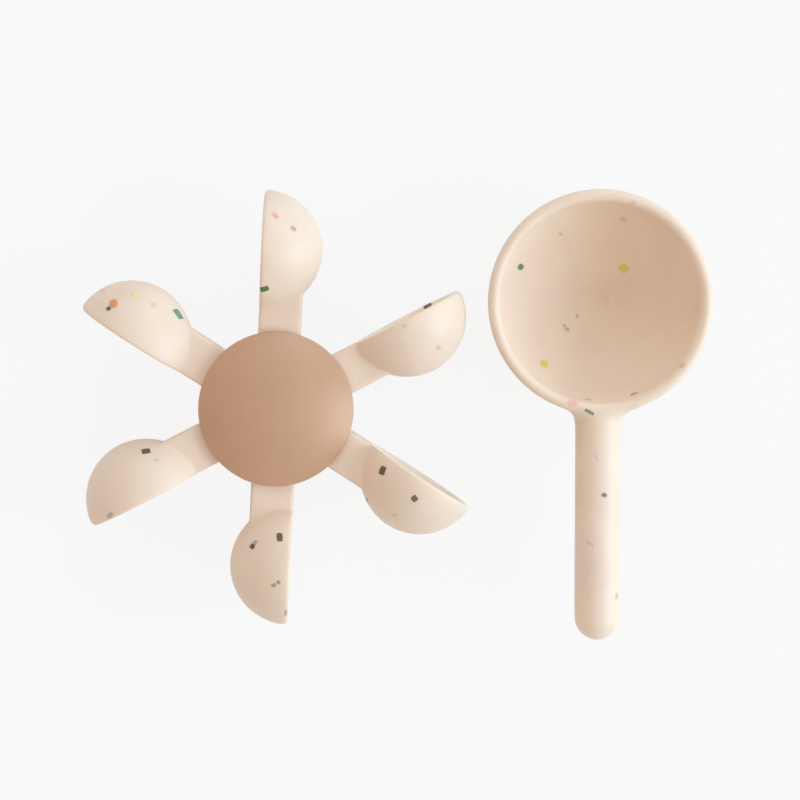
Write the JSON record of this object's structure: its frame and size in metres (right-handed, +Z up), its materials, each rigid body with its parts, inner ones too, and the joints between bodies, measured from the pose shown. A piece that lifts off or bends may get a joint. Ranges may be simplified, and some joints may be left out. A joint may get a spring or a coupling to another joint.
{
  "type": "bath water wheel",
  "caption": "Bath toy water wheel: soft scoops round a domed hub that turns on an axle, held by a suction cup behind it, with a matching pouring ladle.",
  "frame": {"origin": "on the surface that the set lies on, under the middle of the set's box", "axes": "+X from the wheel towards the ladle, +Y along the ladle from its handle to its bowl, +Z up along the wheel's axle, from the suction cup to the cap"},
  "size_m": [0.2261, 0.1627, 0.0489],
  "materials": {
    "speckled_silicone": "matte cream silicone with small coloured chips",
    "blush_silicone": "matte blush silicone",
    "cream_plastic": "moulded, satin",
    "white_acetal": "moulded, smooth",
    "stainless_steel": "ground"
  },
  "bodies": {
    "base": {"suction_cup": "blush_silicone", "mount_stem": "cream_plastic", "axle": "stainless_steel", "rear_thrust_washer": "white_acetal", "front_thrust_washer": "white_acetal", "retaining_clip": "stainless_steel", "ladle": "speckled_silicone"},
    "wheel": {"scoop_1": "speckled_silicone", "scoop_2": "speckled_silicone", "scoop_3": "speckled_silicone", "scoop_4": "speckled_silicone", "scoop_5": "speckled_silicone", "scoop_6": "speckled_silicone", "hub_drum": "cream_plastic", "hub_front_plate": "cream_plastic", "hub_screw_1": "stainless_steel", "hub_screw_2": "stainless_steel", "hub_screw_3": "stainless_steel", "rear_bush": "white_acetal", "front_bush": "white_acetal", "hub_cap": "blush_silicone"}
  },
  "joints": [
    {"name": "wheel_spin", "type": "hinge", "parent": "base", "child": "wheel", "pos_m": [-0.0435, 0.0029, 0.0272], "axis": [0, 0, 1], "continuous": true}
  ]
}
